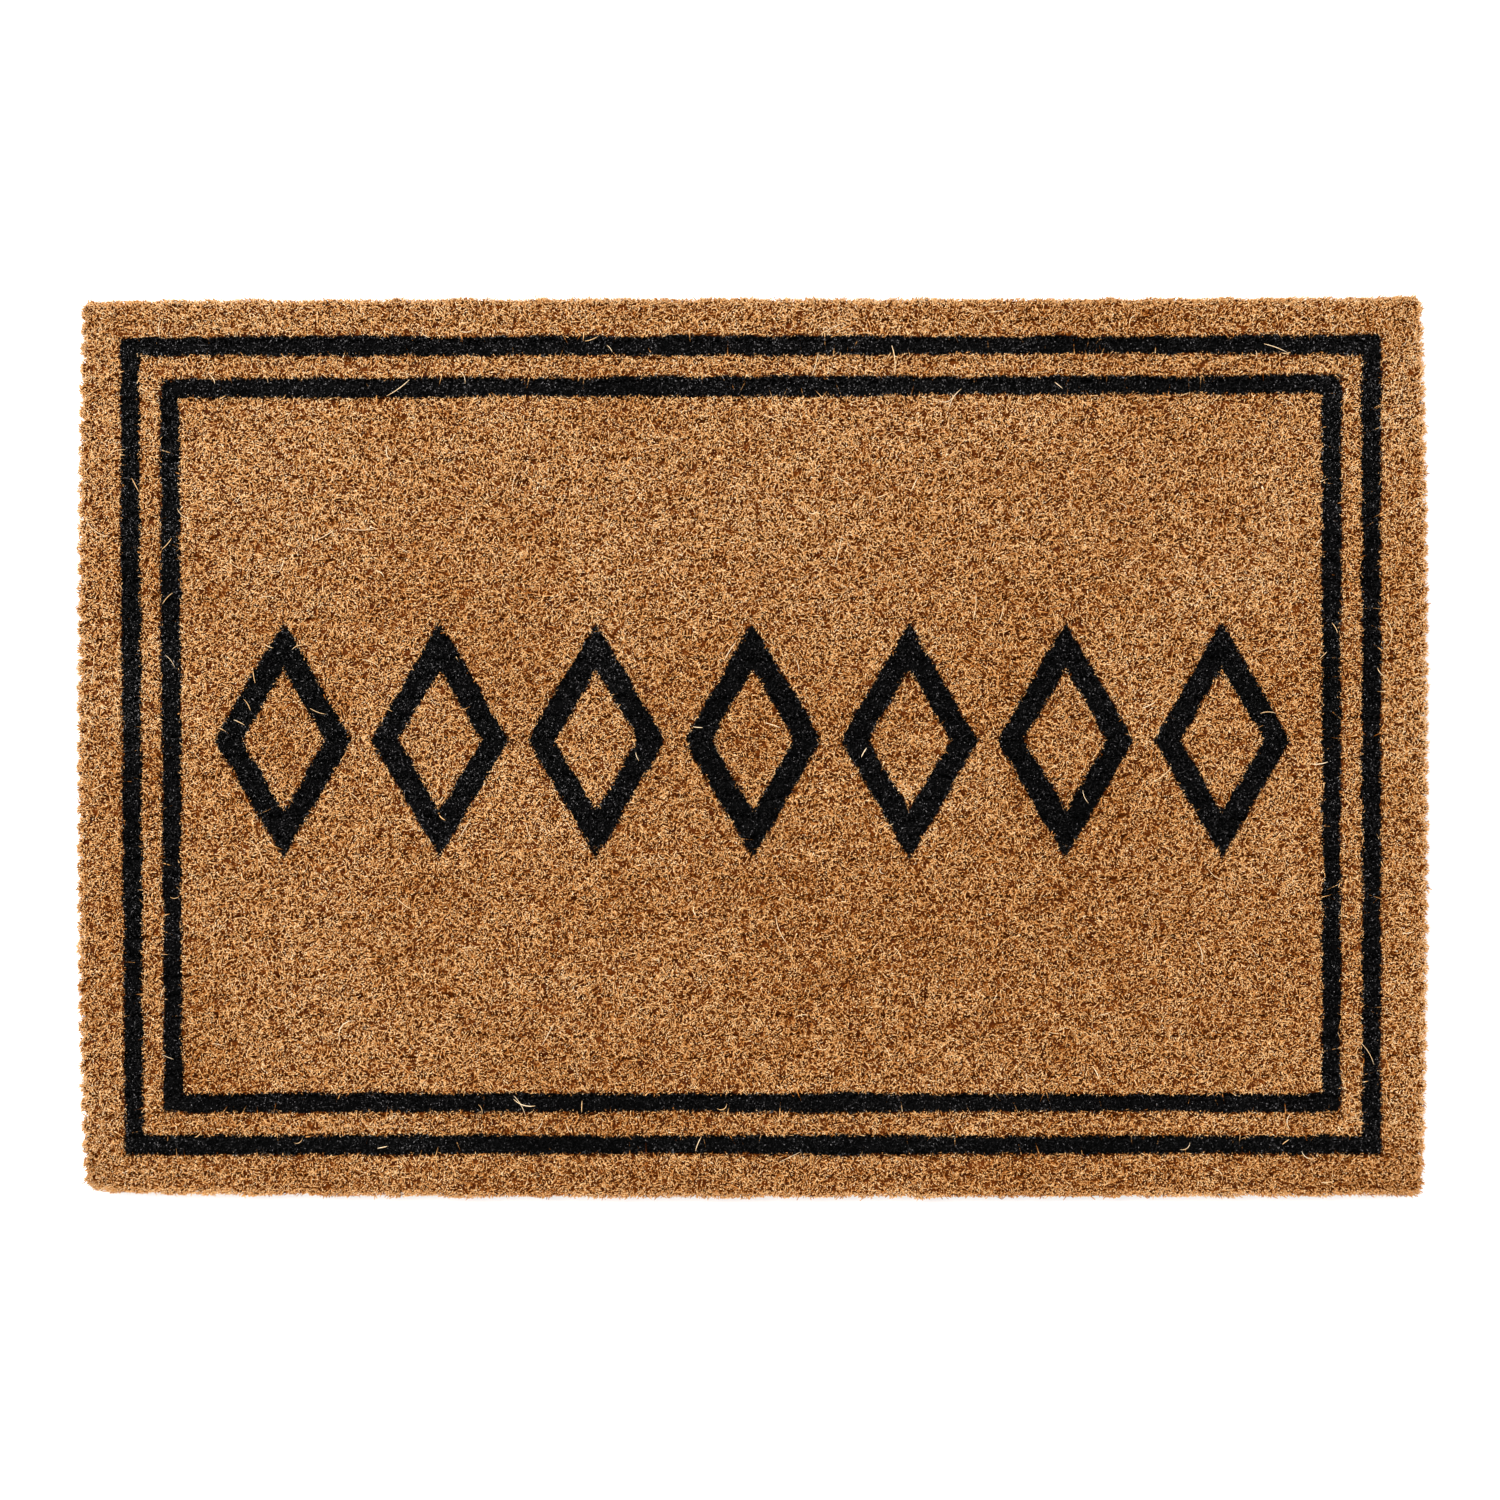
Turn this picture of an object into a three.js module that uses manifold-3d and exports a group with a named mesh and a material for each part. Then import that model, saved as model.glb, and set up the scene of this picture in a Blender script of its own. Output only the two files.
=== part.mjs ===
// A rectangular coir door mat, 600 x 400 mm, in millimetres, +Z up.
// The origin is the middle of the underside: +X runs along the long side, +Y to the far edge.
// A pale vinyl sheet holds rows of upright coir tufts, rooted in shallow troughs in its top face.
// The tufts are sheared flat, and their tips carry a black print: two frames round a row of lozenges.
import * as THREE from "three";
import { mergeVertices } from "three/addons/utils/BufferGeometryUtils.js";
import Module from "manifold-3d";

// The mat
const MAT_LENGTH = 600; // over the tufts, along X
const MAT_WIDTH = 400; // over the tufts, along Y
const PILE_TOP = 16; // floor to the sheared tips

// The vinyl sheet
const BACKING_THICKNESS = 2.5;
const BACKING_INSET = 1.75; // the outer tufts lean out this far past the vinyl
const BACKING_CORNER = 3;
const CORNER_STEPS = 3; // twice as many segments go round each quarter

// The rows of tufts
const ROW_COUNT = 45;
const ROW_GAP = 0.25;
const ROW_CHAMFER = 0.75; // along the sheared top edges and round the foot
const ROW_END_STEPS = 3; // twice as many segments go round each half-round end
const ROOT_DEPTH = 1; // how deep the tufts stand in the vinyl
const ROOT_SHARE = 0.55; // the root's width as a share of the row's
const ROOT_JOIN = 2; // how far the root runs up inside its row
const ROOT_CLEARANCE = 0.25;

// The print
const INK_THICKNESS = 0.5;
const FRAME_CENTRE = new THREE.Vector2(-0.5, 1.25); // the frames sit a little off the middle
const FRAME_LINE = 8.75;
const OUTER_FRAME = new THREE.Vector2(562, 365.5);
const INNER_FRAME = new THREE.Vector2(526.5, 328);
const LOZENGE_COUNT = 7;
const LOZENGE = new THREE.Vector2(62, 106);
const LOZENGE_LINE = 11;
const BAND_LENGTH = 481; // over all the lozenges
const BAND_CENTRE = new THREE.Vector2(0, 3.5);

const COIR = new THREE.MeshStandardMaterial({ color: 0xab7649, roughness: 0.95, metalness: 0 });
const VINYL = new THREE.MeshStandardMaterial({ color: 0xb9aa94, roughness: 0.7, metalness: 0 });
const INK = new THREE.MeshStandardMaterial({ color: 0x1b1918, roughness: 0.9, metalness: 0 });

const rowPitch = (MAT_WIDTH + ROW_GAP) / ROW_COUNT;
const rowWidth = rowPitch - ROW_GAP;
const rootWidth = rowWidth * ROOT_SHARE;
const rootLength = MAT_LENGTH - 2 * rowPitch; // the root stops short of the round ends
const rows = Array.from({ length: ROW_COUNT }, (_, row) => row);

const wasm = await Module();
wasm.setup();

// A closed three.js geometry as a manifold-3d solid.
function toSolid(geometry) {
  const bare = geometry.clone();
  bare.deleteAttribute("normal");
  bare.deleteAttribute("uv");
  const merged = mergeVertices(bare);
  return new wasm.Manifold(
    new wasm.Mesh({
      numProp: 3,
      vertProperties: merged.attributes.position.array,
      triVerts: new Uint32Array(merged.index.array),
    }),
  );
}

// A manifold-3d solid as a three.js geometry.
function toGeometry(solid) {
  const { vertProperties, triVerts } = solid.getMesh();
  const geometry = new THREE.BufferGeometry();
  geometry.setAttribute("position", new THREE.BufferAttribute(vertProperties, 3));
  geometry.setIndex(new THREE.BufferAttribute(triVerts, 1));
  return geometry;
}

function piece(name, geometry, material) {
  const mesh = new THREE.Mesh(geometry, material);
  mesh.name = name;
  return mesh;
}

function rowCentre(row) {
  return (row - (ROW_COUNT - 1) / 2) * rowPitch;
}

// A block along a row that is wider and longer than the root by a clearance, standing on z = bottom.
function rootBlock(row, clearance, bottom, height) {
  const block = new THREE.BoxGeometry(rootLength + 2 * clearance, rootWidth + 2 * clearance, height);
  return toSolid(block.translate(0, rowCentre(row), bottom + height / 2));
}

function roundedRectangle(length, width, radius) {
  const x = length / 2 - radius;
  const y = width / 2 - radius;
  const shape = new THREE.Shape();
  shape.absarc(x, y, radius, 0, Math.PI / 2);
  shape.absarc(-x, y, radius, Math.PI / 2, Math.PI);
  shape.absarc(-x, -y, radius, Math.PI, 1.5 * Math.PI);
  shape.absarc(x, -y, radius, 1.5 * Math.PI, 2 * Math.PI);
  return shape;
}

// A strip along X with half-round ends.
function stadium(length, width) {
  const radius = width / 2;
  const x = length / 2 - radius;
  const shape = new THREE.Shape();
  shape.absarc(x, 0, radius, -Math.PI / 2, Math.PI / 2);
  shape.absarc(-x, 0, radius, Math.PI / 2, 1.5 * Math.PI);
  return shape;
}

// The corners at -x and +x, and at -y and +y, of a lozenge.
function lozengeCorners(length, width) {
  const x = length / 2;
  const y = width / 2;
  return [
    new THREE.Vector2(-x, 0),
    new THREE.Vector2(0, -y),
    new THREE.Vector2(x, 0),
    new THREE.Vector2(0, y),
  ];
}

function rectangleCorners(length, width) {
  const x = length / 2;
  const y = width / 2;
  return [
    new THREE.Vector2(-x, -y),
    new THREE.Vector2(x, -y),
    new THREE.Vector2(x, y),
    new THREE.Vector2(-x, y),
  ];
}

// The vinyl sheet: a slab with rounded corners and one open trough for the root of each row.
function vinylBacking() {
  const outline = roundedRectangle(
    MAT_LENGTH - 2 * BACKING_INSET,
    MAT_WIDTH - 2 * BACKING_INSET,
    BACKING_CORNER,
  );
  const slab = new THREE.ExtrudeGeometry(outline, {
    depth: BACKING_THICKNESS,
    bevelEnabled: false,
    curveSegments: CORNER_STEPS,
  });
  const troughBottom = BACKING_THICKNESS - ROOT_DEPTH - ROOT_CLEARANCE;
  const troughs = rows.map((row) =>
    rootBlock(row, ROOT_CLEARANCE, troughBottom, BACKING_THICKNESS),
  );
  const solid = wasm.Manifold.difference([toSolid(slab), ...troughs]);
  return piece("vinyl_backing", toGeometry(solid), VINYL);
}

// One row of tufts: a strip of standing coir with its root below it.
function pileRow(row) {
  const outline = stadium(MAT_LENGTH - 2 * ROW_CHAMFER, rowWidth - 2 * ROW_CHAMFER);
  const strip = new THREE.ExtrudeGeometry(outline, {
    depth: PILE_TOP - BACKING_THICKNESS - 2 * ROW_CHAMFER,
    bevelThickness: ROW_CHAMFER,
    bevelSize: ROW_CHAMFER,
    bevelSegments: 1,
    curveSegments: ROW_END_STEPS,
  }).translate(0, rowCentre(row), BACKING_THICKNESS + ROW_CHAMFER);
  const root = rootBlock(row, 0, BACKING_THICKNESS - ROOT_DEPTH, ROOT_DEPTH + ROOT_JOIN);
  const name = `pile_row_${String(row + 1).padStart(2, "0")}`;
  return piece(name, toGeometry(toSolid(strip).add(root)), COIR);
}

// Ink on the sheared tips: a thin layer of the outline, less its middle.
function print(name, outer, inner, centre) {
  const shape = new THREE.Shape(outer);
  shape.holes.push(new THREE.Path(inner));
  const layer = new THREE.ExtrudeGeometry(shape, { depth: INK_THICKNESS, bevelEnabled: false });
  const mesh = piece(name, layer, INK);
  mesh.position.set(centre.x, centre.y, PILE_TOP);
  return mesh;
}

function printedFrame(name, size) {
  const inner = size.clone().subScalar(2 * FRAME_LINE);
  const outerCorners = rectangleCorners(size.x, size.y);
  return print(name, outerCorners, rectangleCorners(inner.x, inner.y), FRAME_CENTRE);
}

// The line has the same width square to each side, which makes the middle a smaller lozenge.
function printedLozenge(index) {
  const scale = 1 - (2 * LOZENGE_LINE * LOZENGE.length()) / (LOZENGE.x * LOZENGE.y);
  const pitch = (BAND_LENGTH - LOZENGE.x) / (LOZENGE_COUNT - 1);
  const along = (index - (LOZENGE_COUNT - 1) / 2) * pitch;
  return print(
    `print_lozenge_${index + 1}`,
    lozengeCorners(LOZENGE.x, LOZENGE.y),
    lozengeCorners(LOZENGE.x * scale, LOZENGE.y * scale),
    BAND_CENTRE.clone().add(new THREE.Vector2(along, 0)),
  );
}

const mat = new THREE.Group();
mat.add(vinylBacking());
mat.add(...rows.map(pileRow));
mat.add(printedFrame("print_outer_frame", OUTER_FRAME));
mat.add(printedFrame("print_inner_frame", INNER_FRAME));
for (let index = 0; index < LOZENGE_COUNT; index++) {
  mat.add(printedLozenge(index));
}

export default mat;
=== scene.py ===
"""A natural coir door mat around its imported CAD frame, in metres.

The pile is modelled strand by strand. Each CAD row becomes one mesh: a rough core, short strands
that stand out of the sheared top, and full-height strands on the sides that show. Strands whose
tips lie in the print belong to the print's pieces instead, and are dyed black.
"""

import math

import bpy
import numpy as np
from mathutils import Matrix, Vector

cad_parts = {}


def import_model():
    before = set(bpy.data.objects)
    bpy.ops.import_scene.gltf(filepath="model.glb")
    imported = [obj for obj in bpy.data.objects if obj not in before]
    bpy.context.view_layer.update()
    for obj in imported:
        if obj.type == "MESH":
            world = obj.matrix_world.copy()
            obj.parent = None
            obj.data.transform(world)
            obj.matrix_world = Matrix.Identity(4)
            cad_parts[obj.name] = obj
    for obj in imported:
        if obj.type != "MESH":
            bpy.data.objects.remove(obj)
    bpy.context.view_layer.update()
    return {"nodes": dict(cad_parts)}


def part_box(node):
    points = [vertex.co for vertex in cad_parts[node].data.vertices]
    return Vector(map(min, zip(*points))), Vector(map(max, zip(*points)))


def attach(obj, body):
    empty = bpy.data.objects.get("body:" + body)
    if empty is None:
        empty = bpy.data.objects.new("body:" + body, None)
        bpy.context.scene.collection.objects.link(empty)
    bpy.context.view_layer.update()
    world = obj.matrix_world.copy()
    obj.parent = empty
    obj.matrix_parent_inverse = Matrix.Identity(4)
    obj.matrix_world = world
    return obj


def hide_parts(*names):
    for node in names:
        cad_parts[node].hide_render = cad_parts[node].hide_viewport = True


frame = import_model()

# ---------------------------------------------------------------- sizes, shares and seeds

MM = 0.001

# One seed for the strands and one for each kind of patch
SEED = 20
(
    SEAM_SEED,
    CORE_FINE_SEED,
    CORE_COARSE_SEED,
    TONE_WIDE_SEED,
    TONE_MIDDLE_SEED,
    TONE_FINE_SEED,
    LONG_EDGE_SEED,
    VINYL_UNDER_SEED,
    VINYL_OVER_SEED,
    PRINT_X_SEED,
    PRINT_Y_SEED,
    COMB_X_SEED,
    COMB_Y_SEED,
    CLUMP_SEED,
    SPREAD_SEED,
) = range(SEED + 1, SEED + 16)

# The grid of random numbers behind the patches
PATCH_CELLS = 512
PATCH_MIDDLE = 200.5

# The rows' cores
FOOT_SINK = 0.2 * MM  # how far the cores and the side strands reach into the vinyl
CORE_INSET = 0.3 * MM  # the cores stay this far inside the mat's long edges
CORE_PAST = 0.3 * MM  # and reach this far past the CAD rows' ends
CORE_DROP = 2.7 * MM  # mean depth of the cores below the sheared tips
CORE_STEP = 2.5 * MM  # along a row
CORE_STATIONS = (0.0, 0.12, 0.3, 0.5, 0.7, 0.88, 1.0)  # across a row's top
CORE_BUMP = 0.7 * MM
CORE_LAYERS = ((1.0, 3.2 * MM, CORE_FINE_SEED), (0.6, 9 * MM, CORE_COARSE_SEED))
SEAM_DEPTH = 0.7 * MM  # the groove between two rows
SEAM_POWER = 4  # the higher, the narrower the groove
SEAM_GAP = 0.2 * MM
SEAM_WOBBLE = 0.9 * MM
SEAM_WOBBLE_SIZE = 11 * MM

# The outline that the tips reach
END_REACH = 2.2 * MM  # past the CAD rows' ends
END_ROUND = 1.9 * MM  # how far a row's corners stay behind the middle of its end
EDGE_REACH = 0.9 * MM  # past the CAD pile's long edges
EDGE_WAVE = 1.1 * MM
EDGE_WAVE_SIZE = 6 * MM
EDGE_OVERHANG = 0.5 * MM  # how far a single tip may pass the outline

# The strands that show on top
STRAND_SIDES = 3
STRANDS_ACROSS = 12  # across one row
STRAND_STEP = 0.77 * MM  # along a row
TUFT_STEP = 9.2 * MM  # tufts stand this far apart in each of a row's two staggered lines
TUFT_JITTER = 1.3 * MM
TUFT_START = 0.25  # where the first tuft of a line stands, in steps
TUFT_STAGGER = 0.5  # in steps, between one line and the next
GATHER = 0.15  # how far a tuft's tips draw together, as a share of their offset
TUFT_DOME = 0.3 * MM  # how much lower a tuft's rim is than its middle
TUFT_RADIUS = 3.3 * MM
DOME_LIMIT = 2  # the most that a strand far from its tuft sinks, in domes
COMB_SIZE = 2.4 * MM  # neighbours within about this far lean the same way
COMB = 0.6
BENT_SHARE = 0.15
BEND = 0.3 * MM
TILT_DEGREES = 33
STEEPEST_TILT_DEGREES = 60
ROOT_DEPTH = 1.8 * MM  # strands start this far inside the core
TIP_SCATTER = 0.4 * MM
STRAND_RADIUS = (0.18 * MM, 0.34 * MM)
TIP_TAPER = 0.85

# A strand's tone: its own, from a beta distribution, and a share of its patch of the mat's, which
# also holds a painted light across the mat
OWN_TONE = (2.7, 2.25)
SHARED_TONE = 0.22
TONE_LAYERS = (
    (0.4, 45 * MM, TONE_WIDE_SEED),
    (0.25, 14 * MM, TONE_MIDDLE_SEED),
    (0.35, 6 * MM, TONE_FINE_SEED),
)
# Painted light: paler towards the far long edge, the side the key light comes from, and a little
# darker towards the right, away from it.
FAR_PAINTED_LIGHT = 0.2  # the mat is paler towards the far long edge
RIGHT_PAINTED_SHADE = -0.08  # a little darker towards the right
END_TONE = 0.3  # and paler again at its two ends
END_TONE_POWER = 10
# Most strands are about equally pale and a few are dark: from that even mixture to a tone
TONE_CURVE = ((0, 0.2, 0.5, 0.8, 1), (0.08, 0.47, 0.8, 0.92, 1))

# Painted shade: how dark the strands are painted in the gaps between them and low down, as a share
# of their tone at the tips. The cores' tones hold this painted shade too.
CORE_TONES_WITH_PAINTED_SHADE = (0.04, 0.14)
PAINTED_GAP_SHADE = 0.18
PAINTED_SHADE_POWER = 1.5  # above 1, only the tips are pale
PAINTED_SIDE_SHADE = 0.62

# The upright strands on the sides
SIDE_LAYERS = 3.2 * MM  # they thin out inwards over this depth
SIDE_SETBACK = 0.8 * MM  # the outermost feet stand this far inside the outline
SIDE_STEP = 0.11 * MM  # one strand for each of these along an edge
SIDE_STATIONS = (0.0, 0.35, 0.7, 1.0)  # up a strand
# Painted shade: the side strands are painted a little darker, against the light that the pale floor
# throws onto the rim.
SIDE_RIM_PAINTED_SHADE = 0.93
SIDE_LEAN = 0.35 * MM
SIDE_LEAN_POWER = 1.5
SIDE_BELLY = 0.4 * MM
SIDE_SCATTER = 1.3 * MM
SIDE_TIP_SCATTER = 1.5 * TIP_SCATTER
SIDE_CLUMP = 3.5 * MM
CLUMP_ACROSS = (0.1, 0.1)  # the shares of X and Y in a clump's second coordinate
SIDE_KINK = 0.15 * MM
END_FAN = 0.5  # how much the strands fan out at a row's end
EDGE_FAN = 0.15
STRAY_SHARE = 0.012
STRAY_LEAN = 1.6 * MM

# The loose strands on the pile: how many, their lengths and their tones
LOOSE_KINDS = (
    (45, (7 * MM, 14 * MM), (0.9, 1.0)),
    (160, (3.5 * MM, 7 * MM), (0.8, 1.0)),
)
LOOSE_MARGIN = 5 * MM
LOOSE_CURL = 0.5
LOOSE_LIFT = 0.35 * MM
LOOSE_DROOP = 2.4 * MM  # four times the most that an end sinks below the middle
LOOSE_DROOP_RANGE = (0.2, 1)
LOOSE_RADIUS = (0.13 * MM, 0.22 * MM)
LOOSE_TAPER = (0.6, 1, 1, 1, 0.9, 0.5)

# The outline after trimming: how far each corner is drawn in along X and along Y, and its rounding
CORNERS = {
    (-1, -1): (3.6 * MM, 2.6 * MM, 6 * MM),
    (1, -1): (2.5 * MM, 1.2 * MM, 1.5 * MM),
    (-1, 1): (2.4 * MM, 1.3 * MM, 1.5 * MM),
    (1, 1): (3.0 * MM, -0.8 * MM, 3 * MM),
}
PULL_POWER = 3
PRINT_MARGIN = 18 * MM  # the strip along each edge that the pull moves

# The vinyl backing
BACKING_CORNER = 3 * MM
BACKING_STEP = 5 * MM
BACKING_WAVE = 0.15 * MM
UNDER_WAVE_SIZE = 18 * MM
OVER_WAVE_SIZE = 12 * MM
BACKING_BULGE = 0.2 * MM

# The print
FRAME_LINE = 8.75 * MM
LOZENGE_LINE = 11 * MM
PRINT_FUZZ = 0.45 * MM
PRINT_WAVE = 0.6 * MM
PRINT_WAVE_SIZE = 6 * MM
PRINT_SPREAD = 0.35 * MM  # how much the lines' width varies along the mat
PRINT_SPREAD_SIZE = 70 * MM
PRINT_SCATTER = 0.5 * MM  # how unevenly single strands took the dye
UNPRINTED = -10.0  # millimetres outside the print
# How the stencil stretched: the lean of a frame's left line, and its top line's lift and tilt
FRAME_SKEW = {
    "print_outer_frame": (1.2 * MM, 0.0, 0.5 * MM),
    "print_inner_frame": (1.2 * MM, 0.7 * MM, 1.4 * MM),
}

# The UV maps, in shares of the map and of a strand's own cell in it
UV_NAME = "OFBake"  # each strand has its own cell of this map
CORE_BAND = 0.08  # the bottom of a row's map, kept for its core
CORE_BAND_FILL = 0.95
CORE_END_HEIGHT = 0.4  # where the core's end faces lie in the band
CORE_END_RADIUS = 0.2
CELL_MARGIN = 0.06
CELL_END = 0.12  # kept for each end face of a strand
END_TRIANGLE = np.array([[0.1, 0.2], [0.9, 0.2], [0.5, 1.0]])
BACKING_SPAN = (0.98, 0.45)  # the size of each of the backing's two faces
BACKING_PLACES = ((0.01, 0.01), (0.01, 0.49))
RIM_HEIGHTS = (0.96, 0.98)
RIM_BAND = 0.018

# The materials. Their ramps run on each strand's own tone times its painted shade. Darker coir is
# redder, all the way from the painted shade in the gaps to the palest tips.
COIR_STOPS = (
    (0.0, (0, 0, 0)),
    (0.05, (57, 21, 2)),
    (0.2, (114, 55, 8)),
    (0.4, (156, 93, 36)),
    (0.6, (185, 130, 73)),
    (0.8, (210, 163, 107)),
    (0.9, (218, 182, 134)),
    (1.0, (222, 199, 165)),
)
# Dyed coir: near black. Its palest strands are painted grey, partly dye that took unevenly and
# partly painted highlights on the lit tips.
DYED_STOPS_WITH_PAINTED_HIGHLIGHTS = (
    (0.0, (1, 1, 1)),
    (0.5, (4, 4, 4)),
    (0.8, (10, 9, 9)),
    (0.9, (33, 31, 31)),
    (1.0, (111, 108, 108)),
)
VINYL_STOPS = (
    (0.3, (159, 147, 128)),
    (0.55, (186, 176, 157)),
    (0.8, (201, 193, 177)),
)
NOISE_RANGE = (0.3, 0.7)  # most of a noise lies in it
ROUGHNESS_RANGE = (0.5, 0.75)
GRAIN_SCALE = 900  # cells to a metre
GRAIN_TINT = (0.88, 1.12)
GRAIN_BUMP = (0.4, 0.1 * MM)  # strength and distance
DYE_EDGE = (-0.2, 0.2)  # millimetres
PALE_TONES = (0.6, 1.0)
COIR_GLOSS = (0.03, 0.25)  # only pale strands shine
SPECKLE_SCALE = 700
SPECKLE_DETAIL = 4
VINYL_GRAIN_SCALE = 400
VINYL_GRAIN_DETAIL = 3
VINYL_BUMP = (0.5, 0.3 * MM)

# The stage, the light and the camera
FLOOR_REACH = 6
FLOOR_GREY = 0.9
WORLD_STRENGTH = 1.4
KEY_PLACE = (-1.3, 1.6, 4.0)
KEY_SIZE = 3.6
KEY_POWER = 275
FRAME_WIDTH = 668.9 * MM  # what the camera takes in at the pile's top
AIM = (-1.2 * MM, -0.9 * MM)
LENS = 100
SENSOR = 36

# ---------------------------------------------------------------- the CAD frame

row_names = sorted(n for n in frame["nodes"] if n.startswith("pile_row_"))
frame_names = ["print_outer_frame", "print_inner_frame"]
lozenge_names = sorted(n for n in frame["nodes"] if n.startswith("print_lozenge_"))
row_boxes = [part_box(n) for n in row_names]
backing_low, backing_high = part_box("vinyl_backing")
pile_top = row_boxes[0][1][2]
pile_foot = backing_high[2]
half_length = row_boxes[0][1][0]
half_width = row_boxes[-1][1][1]
row_pitch = 2 * half_width / len(row_names)
core_top = pile_top - CORE_DROP

rng = np.random.default_rng(SEED)


def plan(name):
    """A node's middle and half size, seen from above."""
    low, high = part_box(name)
    middle = (low[0] + high[0]) / 2, (low[1] + high[1]) / 2
    half = (high[0] - low[0]) / 2, (high[1] - low[1]) / 2
    return middle, half


# ---------------------------------------------------------------- numbers


def eased(share):
    """From 0 to 1 with a soft start and end."""
    return share * share * (3 - 2 * share)


def patches(x, y, size, seed):
    """Smooth random numbers from -1 to 1 that change over about size metres."""
    cells = np.random.default_rng(seed).uniform(-1, 1, (PATCH_CELLS, PATCH_CELLS))
    u, v = x / size + PATCH_MIDDLE, y / size + PATCH_MIDDLE
    i, j = np.floor(u).astype(int), np.floor(v).astype(int)
    s, t = eased(u - i), eased(v - j)
    i, j = i % (PATCH_CELLS - 1), j % (PATCH_CELLS - 1)
    low = cells[i, j] * (1 - s) + cells[i + 1, j] * s
    high = cells[i, j + 1] * (1 - s) + cells[i + 1, j + 1] * s
    return low * (1 - t) + high * t


def layered(x, y, layers):
    """The sum of some layers of patches, each (share, size, seed)."""
    return sum(share * patches(x, y, size, seed) for share, size, seed in layers)


def unit(vectors):
    return vectors / np.linalg.norm(vectors, axis=-1, keepdims=True)


def rounded(x, y, side_x, side_y, reach_x, reach_y, radius):
    """Moves the points in one corner of a rectangle so that the corner becomes round."""
    in_x, in_y = side_x * x - reach_x + radius, side_y * y - reach_y + radius
    here = (in_x > 0) & (in_y > 0)
    in_x, in_y = np.where(here, in_x, 1), np.where(here, in_y, 1)
    shrink = np.maximum(in_x, in_y) / np.hypot(in_x, in_y)
    new_x = side_x * (reach_x - radius + in_x * shrink)
    new_y = side_y * (reach_y - radius + in_y * shrink)
    return np.where(here, new_x, x), np.where(here, new_y, y)


def in_margin(place, reach):
    """How far out a place is in the margin, from 0 at the print to 1 at the edge, with its sign."""
    out = np.clip((np.abs(place) - reach) / PRINT_MARGIN + 1, 0, 1)
    return np.sign(place) * eased(out)


def trimmed(points):
    """Draws the margin in at the corners, as on a mat cut by hand. The print stays in place."""
    x, y, z = np.moveaxis(points, -1, 0)
    across, up = in_margin(x, half_length), in_margin(y, half_width)
    pull_x, pull_y = np.zeros_like(x), np.zeros_like(x)
    for (side_x, side_y), (amount_x, amount_y, radius) in CORNERS.items():
        here = (np.sign(x) == side_x) & (np.sign(y) == side_y)
        pull_x += here * amount_x * np.abs(y / half_width) ** PULL_POWER
        pull_y += here * amount_y * np.abs(x / half_length) ** PULL_POWER
        x, y = rounded(x, y, side_x, side_y, half_length, half_width, radius)
    return np.stack([x - across * pull_x, y - up * pull_y, z], axis=-1)


def seam(x, line):
    """Where the seam below row number line runs at x, as a Y value."""
    at = line * row_pitch - half_width
    outer = (line == 0) * CORE_INSET - (line == len(row_names)) * CORE_INSET
    wobble = patches(x, np.full_like(x, line * 0.5), SEAM_WOBBLE_SIZE, SEAM_SEED)
    return at + outer + SEAM_WOBBLE * wobble


def core_height(x, y):
    return core_top + CORE_BUMP * layered(x, y, CORE_LAYERS)


def end_edge(y):
    """How far the rows reach along X at y: each row's end is rounded."""
    within = (y + half_width) / row_pitch % 1
    return half_length + END_REACH - END_ROUND * (2 * within - 1) ** 2


def long_edge(x):
    """How far the outer rows reach along Y at x, where the tufts make bulges."""
    wave = patches(x, np.zeros_like(x), EDGE_WAVE_SIZE, LONG_EDGE_SEED)
    return half_width + EDGE_REACH + EDGE_WAVE * wave


def strand_tones(x, y):
    """How pale a strand is, 0 black to 1 pale: its own, its patch of the mat's, and a painted
    light.
    """
    shared = (
        layered(x, y, TONE_LAYERS)
        # The painted light: paler far away, darker to the right.
        + FAR_PAINTED_LIGHT * y / half_width
        + RIGHT_PAINTED_SHADE * x / half_length
        + END_TONE * np.abs(x / half_length) ** END_TONE_POWER
    )
    own = rng.beta(*OWN_TONE, len(x))
    return np.interp(own + SHARED_TONE * shared, *TONE_CURVE)


# ---------------------------------------------------------------- the print's shapes


def frame_depth(name, x, y):
    """How deep a point is inside a frame's line, negative outside."""
    middle, half = plan(name)
    left_lean, top_lift, top_tilt = FRAME_SKEW[name]
    across, up = x / half_length, y / half_width
    x = x - left_lean * np.minimum(across, 0) * up
    y = y - (top_lift + top_tilt * across) * np.maximum(up, 0)
    from_edge = np.minimum(half[0] - np.abs(x - middle[0]), half[1] - np.abs(y - middle[1]))
    return np.minimum(from_edge, FRAME_LINE - from_edge)


def lozenge_depth(name, x, y):
    """How deep a point is inside a lozenge's line, negative outside."""
    middle, half = plan(name)
    share = np.abs(x - middle[0]) / half[0] + np.abs(y - middle[1]) / half[1]
    from_edge = (1 - share) * half[0] * half[1] / math.hypot(*half)
    return np.minimum(from_edge, LOZENGE_LINE - from_edge)


def print_depths(x, y):
    """One row of depths for each of the print's pieces. The print's edges waver."""
    x = x + PRINT_WAVE * patches(x, y, PRINT_WAVE_SIZE, PRINT_X_SEED)
    y = y + PRINT_WAVE * patches(x, y, PRINT_WAVE_SIZE, PRINT_Y_SEED)
    spread = PRINT_SPREAD * patches(x, y, PRINT_SPREAD_SIZE, SPREAD_SEED)
    frames = [frame_depth(n, x, y) for n in frame_names]
    lozenges = [lozenge_depth(n, x, y) for n in lozenge_names]
    return np.array(frames + lozenges) + spread


# ---------------------------------------------------------------- meshes from arrays


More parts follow.
